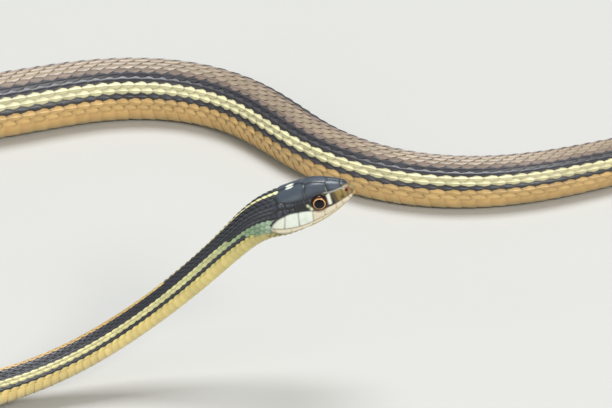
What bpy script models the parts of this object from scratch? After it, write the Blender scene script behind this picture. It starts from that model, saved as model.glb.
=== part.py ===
"""A slender garter snake lying in wide bends with its head raised, as a still, life-size model.

The whole animal is one loft. Its centre line starts at the snout and is turned by named bends, in
plan and in slope. Its sections run from the head's, through the neck's and the flat-bellied
trunk's, to the tail's. The loft is parted into a head, a lower jaw and a few lengths by thin gaps.
Sizes are in millimetres and angles in degrees, until the meshes are made in metres.
"""
import math

import bmesh
import bpy
import numpy as np
from mathutils import Vector

MM = 0.001
NAME = "garter_snake"

# The animal's length and the places of its parts, along the body from the snout
LENGTH = 768.0
JAW_CORNER = 19.4
LANDING = 112.0          # the neck meets the floor here
VENT = 556.0
LENGTHS = (("neck", 2, JAW_CORNER + 1.2, LANDING), ("trunk", 7, LANDING, VENT), ("tail", 3, VENT, LENGTH))

# The way the snout's back lies, the head's lift, and the bends: start, length and turn
SNOUT_AT = (-50.7, -53.2)
FACING = 172.0
HEAD_LIFT = 27.0
BENDS = (
    ("nape", 17.0, 17.0, 16.0),
    ("neck", 34.0, 40.0, 12.0),
    ("front of the loop", 87.0, 137.0, -88.0),
    ("back of the loop", 197.0, 104.0, -91.0),
    ("arch", 370.0, 73.0, -82.0),
    ("hollow", 422.0, 93.0, 87.0),
    ("rump", 532.0, 112.0, -68.0),
    ("tail", 648.0, 104.0, 62.0),
)
NAPE_LIFT = 17.0
LIFTS = (("nape", 17.0, 11.0, NAPE_LIFT), ("lowering", 26.0, LANDING - 26.0, -(HEAD_LIFT + NAPE_LIFT)))
NECK_ROLL = 21.0         # the raised neck leans its back away from the head's right side
HEAD_ROLL = -6.0         # the head leans its crown towards its right side
ROLLS = (("into the lean", 16.0, 20.0, NECK_ROLL - HEAD_ROLL), ("out of it", 90.0, LANDING - 90.0, -NECK_ROLL))

# Sections, as (place, size) stations: half width, height over and depth under the centre line
HALF_WIDTH = ((0, 1.75), (2, 2.35), (4.8, 3.3), (8, 4.2), (11, 4.75), (13.5, 5.05), (16.5, 5.2), (19, 4.95),
              (22.5, 4.3), (27, 3.65), (33, 3.35), (50, 3.35), (75, 3.7), (112, 4.65), (150, 5.6), (200, 6.5),
              (250, 7.0), (300, 7.35), (345, 7.45), (400, 6.95), (450, 6.3), (500, 5.6), (556, 4.6), (600, 3.55),
              (680, 2.1), (768, 0.5))
BODY_DEPTH = ((50, 3.4), (75, 3.6), (112, 4.3), (150, 5.2), (200, 6.15), (250, 6.75), (300, 7.1), (345, 7.2),
              (400, 6.75), (450, 6.15), (500, 5.4), (556, 4.4), (600, 3.4), (680, 2.0), (768, 0.45))
HEIGHT = ((0, 0.35), (2, 1.7), (4.8, 3.4), (8, 4.55), (11, 4.8), (13.5, 4.8), (16.5, 4.75), (19.5, 4.7),
          (24, 4.25), (29, 3.8), (35, 3.55)) + BODY_DEPTH
DEPTH = ((0, 2.3), (2, 2.9), (4.8, 3.85), (8, 4.5), (11, 4.8), (13.5, 4.95), (16.5, 4.95), (19.5, 4.65),
         (24, 4.05), (29, 3.65), (35, 3.45)) + BODY_DEPTH
WIDEST = ((0, -1.0), (4.8, -1.3), (11, -1.0), (19, -0.2), (29, 0.0), (768, 0.0))     # its height over the line
SQUARENESS = ((0, 2.3), (4.8, 3.0), (11, 3.1), (19, 2.7), (29, 2.15), (112, 2.1), (250, 2.2), (768, 2.0))
UNDER_SQUARENESS = ((0, 2.2), (11, 2.6), (19, 2.4), (29, 2.1), (90, 2.2), (150, 2.5), (556, 2.4), (768, 2.1))
LEAN = ((0, 0.1), (4.8, 0.22), (11, 0.2), (19, 0.1), (29, 0.0), (768, 0.0))     # how far the sides lean in
SNOUT_ROUND = 2.1        # length over which the snout rounds off
SNOUT_LEVEL = -1.15      # the snout tip's height over the line
BELLY_FLAT = 0.94        # the belly is flat below this share of the depth
FLATTENING = (94.0, LANDING - 94.0)

# The mouth, as (place, height over the line) from the lip's front to the jaw's corner
MOUTH = ((-1.0, -2.35), (1.2, -2.5), (4.0, -2.7), (8.0, -2.85), (11.0, -2.8), (14.0, -2.45), (17.0, -1.55),
         (JAW_CORNER, -0.6))
MOUTH_GAP = 0.2
JAW_REACH = 8.0          # from the middle to beyond the cheeks

# The eyes are flattened balls: their place, height and inset, their size, and how far they look forward
EYE_PLACE = 7.3
EYE_HEIGHT = 0.5
EYE_INSET = 0.47
EYE_RADIUS = 1.65
EYE_DEPTH = 1.0
EYE_FORWARD = 8.0
EYE_GAP = 0.2

# Mesh spacing
LINE_STEP = 0.5
HEAD_POINTS = 32
BODY_POINTS = 18
HEAD_RING_STEP = 1.1
BODY_RING_STEP = 5.4
LENGTH_GAP = 0.3


def ramp(place, start, length):
    """Rise smoothly from 0 to 1 over a stretch of the body."""
    t = np.clip((place - start) / length, 0.0, 1.0)
    return t * t * (3.0 - 2.0 * t)


def turned(place, first, bends):
    """Add up the bends passed on the way to a place."""
    return first + sum(turn * ramp(place, start, length) for _, start, length, turn in bends)


def through(stations, place):
    """Read a smooth curve, with no overshoot, through (place, size) stations."""
    places, sizes = np.array(stations, float).T
    steps = np.diff(places)
    slopes = np.diff(sizes) / steps
    before, after = slopes[:-1], slopes[1:]
    inner = np.where(before * after > 0.0, 2.0 * before * after / (before + after + 1e-12), 0.0)
    tangents = np.concatenate([slopes[:1], inner, slopes[-1:]])
    k = np.clip(np.searchsorted(places, place) - 1, 0, len(steps) - 1)
    t = np.clip((place - places[k]) / steps[k], 0.0, 1.0)
    h = steps[k]
    return (sizes[k] * (1 + 2 * t) * (1 - t) ** 2 + tangents[k] * h * t * (1 - t) ** 2
            + sizes[k + 1] * t * t * (3 - 2 * t) + tangents[k + 1] * h * t * t * (t - 1))


def under_level(place):
    """Depth of the lowest level under the centre line: the belly's flat, once the body lies down."""
    flat = 1.0 - (1.0 - BELLY_FLAT) * ramp(place, *FLATTENING)
    return flat * through(DEPTH, place)


class CentreLine:
    """The body's centre line: where it is, and which ways lie tailwards, left and up, at any place."""

    def __init__(self):
        """Walk down the body from the snout in small steps."""
        self.place = np.arange(0.0, LENGTH + LINE_STEP, LINE_STEP)
        heading = np.radians(turned(self.place, FACING, BENDS))
        slope = np.radians(turned(self.place, HEAD_LIFT, LIFTS))
        ways = (np.cos(heading) * np.cos(slope), np.sin(heading) * np.cos(slope), -np.sin(slope))
        x, y, fall = (np.concatenate([[0.0], np.cumsum((way[1:] + way[:-1]) / 2 * LINE_STEP)]) for way in ways)
        landed = np.interp(LANDING, self.place, fall)
        resting = under_level(np.maximum(self.place, LANDING))
        self.points = np.stack([x + SNOUT_AT[0], y + SNOUT_AT[1], np.where(self.place < LANDING,
                                fall - landed, 0.0) + resting], axis=1)

    def at(self, place):
        """Return the point, and the tailward, left and up directions, at a place along the body."""
        point = Vector([float(np.interp(place, self.place, column)) for column in self.points.T])
        heading = math.radians(turned(place, FACING, BENDS))
        slope = math.radians(turned(place, HEAD_LIFT, LIFTS))
        roll = math.radians(turned(place, HEAD_ROLL, ROLLS))
        tail = Vector((math.cos(heading) * math.cos(slope), math.sin(heading) * math.cos(slope), -math.sin(slope)))
        level = Vector((math.sin(heading), -math.cos(heading), 0.0))
        over = level.cross(tail)
        left = level * math.cos(roll) - over * math.sin(roll)
        up = over * math.cos(roll) + level * math.sin(roll)
        return point, tail, left, up


def rounding(place):
    """Close the snout as a quarter of an ellipse does."""
    t = min(place / SNOUT_ROUND, 1.0)
    return math.sqrt(1.0 - (1.0 - t) ** 2)


def section(place, count):
    """Give one ring's (left, up) points, from the back's middle round by the left side."""
    close = rounding(place)
    widest = SNOUT_LEVEL + (through(WIDEST, place) - SNOUT_LEVEL) * close
    top = SNOUT_LEVEL + (through(HEIGHT, place) - SNOUT_LEVEL) * close
    bottom = SNOUT_LEVEL + (-through(DEPTH, place) - SNOUT_LEVEL) * close
    half = through(HALF_WIDTH, place) * close
    lowest = SNOUT_LEVEL + (-under_level(place) - SNOUT_LEVEL) * close
    lean = through(LEAN, place)
    ring = []
    for k in range(count):
        angle = 2.0 * math.pi * k / count
        side, rise = math.sin(angle), math.cos(angle)
        upper = rise > 0.0
        power = 2.0 / through(SQUARENESS if upper else UNDER_SQUARENESS, place)
        share = abs(rise) ** power
        reach = (top if upper else bottom) - widest
        inward = 1.0 - lean * share if upper else 1.0
        ring.append((math.copysign(half * inward * abs(side) ** power, side), max(widest + reach * share, lowest)))
    return ring


def new_object(name, bm, collection, smooth=True):
    """Make one object in a collection from a bmesh in millimetres."""
    bmesh.ops.recalc_face_normals(bm, faces=bm.faces)
    bmesh.ops.scale(bm, vec=(MM, MM, MM), verts=bm.verts)
    mesh = bpy.data.meshes.new(name)
    bm.to_mesh(mesh)
    bm.free()
    if smooth:
        mesh.shade_smooth()
    thing = bpy.data.objects.new(name, mesh)
    collection.objects.link(thing)
    return thing


def loft(name, line, places, count, collection):
    """Skin the rings at some places along the body, and close both ends with fans."""
    bm = bmesh.new()
    rings, middles = [], []
    for place in places:
        point, _, left, up = line.at(place)
        ring = [point + left * x + up * z for x, z in section(place, count)]
        rings.append([bm.verts.new(p) for p in ring])
        middles.append(sum(ring, Vector()) / count)
    for first, second in zip(rings, rings[1:]):
        for k in range(count):
            n = (k + 1) % count
            bm.faces.new((first[k], first[n], second[n], second[k]))
    for ring, middle in ((rings[0], middles[0]), (rings[-1], middles[-1])):
        centre = bm.verts.new(middle)
        for k in range(count):
            bm.faces.new((ring[k], ring[(k + 1) % count], centre))
    return new_object(name, bm, collection)


def spaced(start, end, step):
    """Divide a stretch evenly into steps no longer than the one given."""
    return np.linspace(start, end, max(2, math.ceil((end - start) / step) + 1))


def head_places():
    """Ring places of the head: close together round the snout, then even."""
    nose = [SNOUT_ROUND * (1.0 - math.cos(math.radians(angle))) for angle in (14, 28, 42, 56, 72)]
    return nose + list(spaced(SNOUT_ROUND, JAW_CORNER + 1.2 - LENGTH_GAP / 2, HEAD_RING_STEP))


def mouth_block(name, line, lift, collection):
    """Make the block that holds the lower jaw, its top following the mouth."""
    point, tail, left, up = line.at(0.0)
    floor = -JAW_REACH
    outline = [(place, height + lift) for place, height in MOUTH]
    outline += [(MOUTH[-1][0] + lift, floor), (MOUTH[0][0], floor)]
    bm = bmesh.new()
    sides = []
    for reach in (-JAW_REACH, JAW_REACH):
        sides.append([bm.verts.new(point + tail * place + up * height + left * reach) for place, height in outline])
    bm.faces.new(sides[0])
    bm.faces.new(reversed(sides[1]))
    for k in range(len(outline)):
        n = (k + 1) % len(outline)
        bm.faces.new((sides[0][k], sides[1][k], sides[1][n], sides[0][n]))
    return new_object(name, bm, collection, smooth=False)


def eyeball(name, line, side, extra, segments, collection):
    """Set a flattened ball into one side of the head, looking out and a little forward."""
    point, tail, left, up = line.at(0.0)
    turn = math.radians(EYE_FORWARD)
    out = left * side * math.cos(turn) - tail * math.sin(turn)
    middle = point + tail * EYE_PLACE + up * EYE_HEIGHT
    middle += left * side * (through(HALF_WIDTH, EYE_PLACE) - EYE_INSET)
    bm = bmesh.new()
    bmesh.ops.create_uvsphere(bm, u_segments=segments, v_segments=segments // 2, radius=1.0)
    bmesh.ops.scale(bm, vec=(EYE_RADIUS + extra, EYE_RADIUS + extra, EYE_DEPTH + extra), verts=bm.verts)
    bmesh.ops.rotate(bm, matrix=out.to_track_quat("Z", "Y").to_matrix(), verts=bm.verts)
    bmesh.ops.translate(bm, vec=middle, verts=bm.verts)
    return new_object(name, bm, collection)


def cut(thing, cutter, operation):
    """Cut an object with another, or keep only what they share."""
    change = thing.modifiers.new(cutter.name, "BOOLEAN")
    change.operation = operation
    change.solver = "EXACT"
    change.object = cutter
    cutter.hide_render = True
    cutter.display_type = "WIRE"


def finish(name, colour, roughness):
    """Make a plain material with a colour and a roughness."""
    material = bpy.data.materials.new(name)
    material.use_nodes = True
    shader = material.node_tree.nodes["Principled BSDF"]
    shader.inputs["Base Color"].default_value = (*colour, 1.0)
    shader.inputs["Roughness"].default_value = roughness
    shader.inputs["Metallic"].default_value = 0.0
    return material


def build_head(line, parts, cutters):
    """Loft the head whole, part the lower jaw from it along the mouth, and set the eyes in."""
    head = loft("head", line, head_places(), HEAD_POINTS, parts)
    jaw = loft("lower_jaw", line, head_places(), HEAD_POINTS, parts)
    cut(head, mouth_block("mouth_above", line, MOUTH_GAP / 2, cutters), "DIFFERENCE")
    cut(jaw, mouth_block("mouth_below", line, -MOUTH_GAP / 2, cutters), "INTERSECT")
    eyes = []
    for word, side in (("left", 1), ("right", -1)):
        cut(head, eyeball("socket_" + word, line, side, EYE_GAP, 24, cutters), "DIFFERENCE")
        eyes.append(eyeball("eye_" + word, line, side, 0.0, 16, parts))
    return head, jaw, eyes


def build_lengths(line, parts):
    """Loft the neck, trunk and tail in lengths with a thin gap between neighbours."""
    lengths = []
    for word, count, start, end in LENGTHS:
        size = (end - start) / count
        for k in range(count):
            first = start + k * size + LENGTH_GAP / 2
            last = start + (k + 1) * size - LENGTH_GAP / 2
            places = spaced(first, last, BODY_RING_STEP)
            lengths.append(loft(f"{word}_{k + 1}", line, places, BODY_POINTS, parts))
    return lengths


def main():
    """Build the snake."""
    for thing in list(bpy.data.objects):
        bpy.data.objects.remove(thing, do_unlink=True)
    parts = bpy.data.collections.new(NAME)
    cutters = bpy.data.collections.new(NAME + "_cutters")
    for collection in (parts, cutters):
        bpy.context.scene.collection.children.link(collection)
    line = CentreLine()
    head, jaw, eyes = build_head(line, parts, cutters)
    lengths = build_lengths(line, parts)
    looks = {
        "head_skin": (finish("head_skin", (0.035, 0.04, 0.05), 0.35), [head]),
        "lip_skin": (finish("lip_skin", (0.75, 0.75, 0.62), 0.4), [jaw]),
        "eye_gloss": (finish("eye_gloss", (0.03, 0.02, 0.015), 0.08), eyes),
        "body_skin": (finish("body_skin", (0.05, 0.05, 0.055), 0.45), lengths),
    }
    for material, wearers in looks.values():
        for wearer in wearers:
            wearer.data.materials.append(material)


main()
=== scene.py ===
"""Dress a life-size garter snake: one skin with a plated head, glossy eyes and a coat of overlapping scales.

The skin and every scale are laid out on the body's own shape. A place on it is given by its distance
down the body from the snout, in millimetres, and by its share of the way round from the middle of the
back, 0, to the middle of the belly, 1 on the left side and -1 on the right.
"""
import logging
import math
from dataclasses import dataclass, field
from enum import Enum

import bmesh
import bpy
import numpy as np
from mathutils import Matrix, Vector


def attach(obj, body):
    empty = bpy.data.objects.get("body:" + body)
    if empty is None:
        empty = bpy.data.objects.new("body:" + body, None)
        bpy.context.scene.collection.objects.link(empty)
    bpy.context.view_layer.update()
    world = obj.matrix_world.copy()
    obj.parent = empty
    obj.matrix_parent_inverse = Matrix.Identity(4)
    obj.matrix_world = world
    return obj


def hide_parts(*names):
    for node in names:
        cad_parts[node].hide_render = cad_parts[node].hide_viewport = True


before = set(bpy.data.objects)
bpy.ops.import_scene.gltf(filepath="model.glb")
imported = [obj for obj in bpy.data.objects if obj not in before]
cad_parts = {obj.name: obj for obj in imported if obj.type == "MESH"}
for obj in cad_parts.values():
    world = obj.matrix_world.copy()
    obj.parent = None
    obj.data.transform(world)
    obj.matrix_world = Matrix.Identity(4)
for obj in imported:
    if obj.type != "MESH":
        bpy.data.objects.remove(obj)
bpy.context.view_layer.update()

log = logging.getLogger("garter_snake")

Number = float | np.ndarray

MM = 0.001
ROOT = "root"

# The body, as the solids have it: lengths in millimetres, angles in degrees
LENGTH = 768.0
JAW_CORNER = 19.4
LANDING = 112.0
VENT = 556.0
SNOUT_AT = (-50.7, -53.2)
FACING = 172.0
HEAD_LIFT = 27.0
BENDS = ((17, 17, 16), (34, 40, 12), (87, 137, -88), (197, 104, -91), (370, 73, -82), (422, 93, 87),
         (532, 112, -68), (648, 104, 62))
NAPE_LIFT = 17.0
LIFTS = ((17, 11, NAPE_LIFT), (26, LANDING - 26, -(HEAD_LIFT + NAPE_LIFT)))
NECK_ROLL = 21.0
HEAD_ROLL = -6.0
ROLLS = ((16, 20, NECK_ROLL - HEAD_ROLL), (90, LANDING - 90, -NECK_ROLL))
HALF_WIDTH = ((0, 1.75), (2, 2.35), (4.8, 3.3), (8, 4.2), (11, 4.75), (13.5, 5.05), (16.5, 5.2), (19, 4.95),
              (22.5, 4.3), (27, 3.65), (33, 3.35), (50, 3.35), (75, 3.7), (112, 4.65), (150, 5.6), (200, 6.5),
              (250, 7.0), (300, 7.35), (345, 7.45), (400, 6.95), (450, 6.3), (500, 5.6), (556, 4.6),
              (600, 3.55), (680, 2.1), (768, 0.5))
BODY_DEPTH = ((50, 3.4), (75, 3.6), (112, 4.3), (150, 5.2), (200, 6.15), (250, 6.75), (300, 7.1), (345, 7.2),
              (400, 6.75), (450, 6.15), (500, 5.4), (556, 4.4), (600, 3.4), (680, 2.0), (768, 0.45))
HEIGHT = ((0, 0.35), (2, 1.7), (4.8, 3.4), (8, 4.55), (11, 4.8), (13.5, 4.8), (16.5, 4.75), (19.5, 4.7),
          (24, 4.25), (29, 3.8), (35, 3.55)) + BODY_DEPTH
DEPTH = ((0, 2.3), (2, 2.9), (4.8, 3.85), (8, 4.5), (11, 4.8), (13.5, 4.95), (16.5, 4.95), (19.5, 4.65),
         (24, 4.05), (29, 3.65), (35, 3.45)) + BODY_DEPTH
WIDEST = ((0, -1.0), (4.8, -1.3), (11, -1.0), (19, -0.2), (29, 0.0), (768, 0.0))
SQUARENESS = ((0, 2.3), (4.8, 3.0), (11, 3.1), (19, 2.7), (29, 2.15), (112, 2.1), (250, 2.2), (768, 2.0))
UNDER_SQUARENESS = ((0, 2.2), (11, 2.6), (19, 2.4), (29, 2.1), (90, 2.2), (150, 2.5), (556, 2.4), (768, 2.1))
LEAN = ((0, 0.1), (4.8, 0.22), (11, 0.2), (19, 0.1), (29, 0.0), (768, 0.0))
SNOUT_ROUND = 2.1
SNOUT_LEVEL = -1.15
BELLY_FLAT = 0.94
FLATTENING = (94.0, LANDING - 94.0)
MOUTH = ((-1.0, -2.35), (1.2, -2.5), (4.0, -2.7), (8.0, -2.85), (11.0, -2.8), (14.0, -2.45), (17.0, -1.55),
         (JAW_CORNER, -0.6))
EYE_PLACE = 7.3
EYE_HEIGHT = 0.5
EYE_INSET = 0.47
EYE_RADIUS = 1.65
EYE_FORWARD = 8.0

# The coat: how far its outside lies within the solids, with room for its keels, and its depth,
# each as a least measure and a share of the half width
CLEAR = 0.06
KEEL_SHARE = 0.049
KEELS_START = (16.0, 16.0)
COAT_SHARE = 0.034
COAT_LEAST = 0.07

# The skin between the scales: how far it reaches up into the coat, how bright it is, and its wear
SKIN_LIFT = 0.02
BETWEEN_SCALES = 0.5
SKIN_WEAR = 0.6

# A distance that takes a point out of reckoning, and the share across a head plate where its ends bend
FAR_OFF = 9.0
BEND_AT = 0.28

# The map of the coat: the margin round it, and the size of one scale's patch on it
MAP_MARGIN = 0.015
PATCH = 0.003


def ramp(place: Number, start: float, length: float) -> Number:
    """Rise smoothly from 0 to 1 over a stretch."""
    t = np.clip((place - start) / length, 0.0, 1.0)
    return t * t * (3.0 - 2.0 * t)


def turned(place: Number, first: float, bends: tuple) -> Number:
    """Add up the bends passed on the way to a place."""
    return first + sum(turn * ramp(place, start, length) for start, length, turn in bends)


def through(stations: tuple, place: Number) -> Number:
    """Read a smooth curve, with no overshoot, through stations.

    Args:
        stations: Pairs of a place and a size, in order.
        place: Where the curve is read.

    Returns:
        The size at each place.
    """
    places, sizes = np.array(stations, float).T
    steps = np.diff(places)
    slopes = np.diff(sizes) / steps
    before, after = slopes[:-1], slopes[1:]
    inner = np.where(before * after > 0.0, 2.0 * before * after / (before + after + 1e-12), 0.0)
    tangents = np.concatenate([slopes[:1], inner, slopes[-1:]])
    k = np.clip(np.searchsorted(places, place) - 1, 0, len(steps) - 1)
    t = np.clip((place - places[k]) / steps[k], 0.0, 1.0)
    h = steps[k]
    return (sizes[k] * (1 + 2 * t) * (1 - t) ** 2 + tangents[k] * h * t * (1 - t) ** 2
            + sizes[k + 1] * t * t * (3 - 2 * t) + tangents[k + 1] * h * t * t * (t - 1))


def under_level(place: Number) -> Number:
    """Give the depth of the lowest level under the centre line: the belly's flat, once the body lies down."""
    flat = 1.0 - (1.0 - BELLY_FLAT) * ramp(place, *FLATTENING)
    return flat * through(DEPTH, place)


def coat_depth(place: Number) -> Number:
    """Give the depth of the coat of scales at a place."""
    return COAT_LEAST + COAT_SHARE * through(HALF_WIDTH, place)


def keel_room(place: Number) -> Number:
    """Give how far within the solids the scales lie, so that their keels stay inside too."""
    return CLEAR + KEEL_SHARE * through(HALF_WIDTH, place) * ramp(place, *KEELS_START)


def signed(share: np.ndarray) -> np.ndarray:
    """Bring a share of the way round back between -1 and 1."""
    return (share + 1.0) % 2.0 - 1.0


def linear(*srgb: float) -> np.ndarray:
    """Turn a colour of 0 to 255 as a screen shows it into the shader's own numbers."""
    share = np.array(srgb, float) / 255.0
    return np.where(share <= 0.04045, share / 12.92, ((share + 0.055) / 1.055) ** 2.4)


@dataclass
class Body:
    """The animal's form: its centre line, and its sections spaced evenly round their girth.

    Args:
        line_step: Step along the centre line, in millimetres.
        fine: Points on each half section before they are spaced evenly.
        count: Points on each half section kept in the table.
        table_start: Place from which the table of sections is kept.
    """

    line_step: float = 0.5
    fine: int = 721
    count: int = 161
    table_start: float = 8.0
    place: np.ndarray = field(init=False)
    points: np.ndarray = field(init=False)
    table_place: np.ndarray = field(init=False)
    table: np.ndarray = field(init=False)
    table_girth: np.ndarray = field(init=False)

    def __post_init__(self) -> None:
        """Walk down the body from the snout, and tabulate its sections."""
        self.place = np.arange(0.0, LENGTH + self.line_step, self.line_step)
        tail, _ = self.ways(self.place)
        x, y, fall = (np.concatenate([[0.0], np.cumsum((way[1:] + way[:-1]) / 2 * self.line_step)])
                      for way in tail.T)
        landed = np.interp(LANDING, self.place, fall)
        resting = under_level(np.maximum(self.place, LANDING))
        raised = np.where(self.place < LANDING, fall - landed, 0.0) + resting
        self.points = np.stack([x + SNOUT_AT[0], y + SNOUT_AT[1], raised], axis=1)
        self.table_place = np.arange(self.table_start, LENGTH + self.line_step, self.line_step)
        left, height, self.table_girth = self.outline(self.table_place, self.count)
        self.table = np.stack([left, height, *self.outward(left, height)], axis=-1)

    @staticmethod
    def ways(place: np.ndarray) -> tuple[np.ndarray, np.ndarray]:
        """Find how the centre line runs.

        Args:
            place: Distance down the body.

        Returns:
            The tailward direction there, and the level direction to the animal's left.
        """
        heading = np.radians(turned(place, FACING, BENDS))
        slope = np.radians(turned(place, HEAD_LIFT, LIFTS))
        level_part = np.cos(slope)
        tail = [np.cos(heading) * level_part, np.sin(heading) * level_part, -np.sin(slope)]
        level = [np.sin(heading), -np.cos(heading), np.zeros_like(heading)]
        return np.stack(tail, axis=-1), np.stack(level, axis=-1)

    def frames(self, place: np.ndarray) -> tuple[np.ndarray, ...]:
        """Place the body's own axes along the centre line.

        Args:
            place: Distance down the body.

        Returns:
            Points on the centre line, and the tailward, left and up directions there.
        """
        point = np.stack([np.interp(place, self.place, column) for column in self.points.T], axis=-1)
        roll = np.radians(turned(place, HEAD_ROLL, ROLLS))[..., None]
        tail, level = self.ways(place)
        over = np.cross(level, tail)
        left = level * np.cos(roll) - over * np.sin(roll)
        up = over * np.cos(roll) + level * np.sin(roll)
        return point, tail, left, up

    def outline(self, place: np.ndarray, count: int) -> tuple[np.ndarray, ...]:
        """Give half sections, from the back's middle to the belly's, as points spaced evenly.

        Args:
            place: Places along the body, one a row.
            count: Points on each half section.

        Returns:
            Left and height of each point, a row a place, and the length of each half section.
        """
        angle = np.linspace(0.0, math.pi, self.fine)[None, :]
        rounded = np.sqrt(1.0 - (1.0 - np.minimum(place / SNOUT_ROUND, 1.0)) ** 2)
        widest, top, bottom, lowest = (
            (SNOUT_LEVEL + (value - SNOUT_LEVEL) * rounded)[:, None]
            for value in (through(WIDEST, place), through(HEIGHT, place), -through(DEPTH, place),
                          -under_level(place)))
        half = (through(HALF_WIDTH, place) * rounded)[:, None]
        side, rise = np.abs(np.sin(angle)), np.cos(angle)
        upper = rise > 0.0
        over, under = (through(curve, place)[:, None] for curve in (SQUARENESS, UNDER_SQUARENESS))
        square = np.where(upper, over, under)
        share = np.abs(rise) ** (2.0 / square)
        reach = np.where(upper, top, bottom) - widest
        inward = np.where(upper, 1.0 - through(LEAN, place)[:, None] * share, 1.0)
        left = half * inward * side ** (2.0 / square)
        height = np.maximum(widest + reach * share, lowest)
        steps = np.hypot(np.diff(left, axis=1), np.diff(height, axis=1))
        length = np.concatenate([np.zeros((len(place), 1)), np.cumsum(steps, axis=1)], axis=1)
        even = np.linspace(0.0, 1.0, count)
        left, height = (np.array([np.interp(even * far[-1], far, row) for far, row in zip(length, rows)])
                        for rows in (left, height))
        return left, height, length[:, -1]

    @staticmethod
    def outward(left: np.ndarray, height: np.ndarray) -> tuple[np.ndarray, np.ndarray]:
        """Find the way out of each half section's points.

        Args:
            left: Left of each point, a row a section.
            height: Height of each point.

        Returns:
            The left and up parts of the direction.
        """
        across, rise = np.gradient(left, axis=1), np.gradient(height, axis=1)
        size = np.hypot(across, rise) + 1e-9
        return -rise / size, across / size

    def girth(self, place: np.ndarray) -> np.ndarray:
        """Return the length of the half section at each place."""
        return np.interp(place, self.table_place, self.table_girth)

    def surface(self, place: np.ndarray, share: np.ndarray, height: np.ndarray) -> np.ndarray:
        """Return points over the body, in metres.

        Args:
            place: Distance down the body.
            share: Share of the way round, below 0 on the right side.
            height: Height over the body's own surface.

        Returns:
            One point for each.
        """
        i = np.clip((place - self.table_start) / self.line_step, 0.0, len(self.table_place) - 1.001)
        turn = signed(share)
        side = np.where(turn < 0.0, -1.0, 1.0)
        j = np.clip(np.abs(turn) * (self.count - 1), 0.0, self.count - 1.001)
        i0, j0 = i.astype(int), j.astype(int)
        u, v = (i - i0)[..., None], (j - j0)[..., None]
        table = self.table
        found = ((table[i0, j0] * (1 - v) + table[i0, j0 + 1] * v) * (1 - u)
                 + (table[i0 + 1, j0] * (1 - v) + table[i0 + 1, j0 + 1] * v) * u)
        point, _, left, up = self.frames(np.clip(place, 0.0, LENGTH))
        across = (found[..., 0] + found[..., 2] * height) * side
        over = found[..., 1] + found[..., 3] * height
        return (point + left * across[..., None] + up * over[..., None]) * MM


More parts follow.
